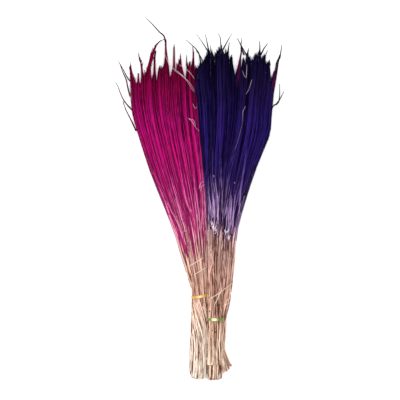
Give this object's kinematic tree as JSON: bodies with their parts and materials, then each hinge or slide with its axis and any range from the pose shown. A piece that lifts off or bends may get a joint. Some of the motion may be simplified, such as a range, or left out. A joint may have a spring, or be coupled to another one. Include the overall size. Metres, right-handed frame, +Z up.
{
  "type": "dried wheat bouquet",
  "caption": "Dried wheat bouquet: tied bunches of natural stalks with magenta and violet dyed brush-like heads, lying down on a surface as a decoration.",
  "frame": {"origin": "on the surface that the bouquet lies on, under the middle of its bounding box", "axes": "+Y along the stalks from the cut ends towards the heads, +X to the right as seen from above with the magenta bunch on the left, +Z up from the surface"},
  "size_m": [0.2464, 0.5159, 0.0607],
  "materials": {
    "straw": "dry natural straw",
    "magenta_bristle": "dyed dry bristle, satin",
    "violet_bristle": "dyed dry bristle, satin",
    "yellow_ribbon": "glossy split ribbon",
    "green_ribbon": "glossy split ribbon"
  },
  "bodies": {
    "root": {"magenta_stalks": "straw", "magenta_heads": "magenta_bristle", "violet_back_stalks": "straw", "violet_back_heads": "violet_bristle", "violet_front_stalks": "straw", "violet_front_heads": "violet_bristle", "yellow_tie": "yellow_ribbon", "green_tie": "green_ribbon", "hidden_green_tie": "green_ribbon"}
  },
  "joints": []
}
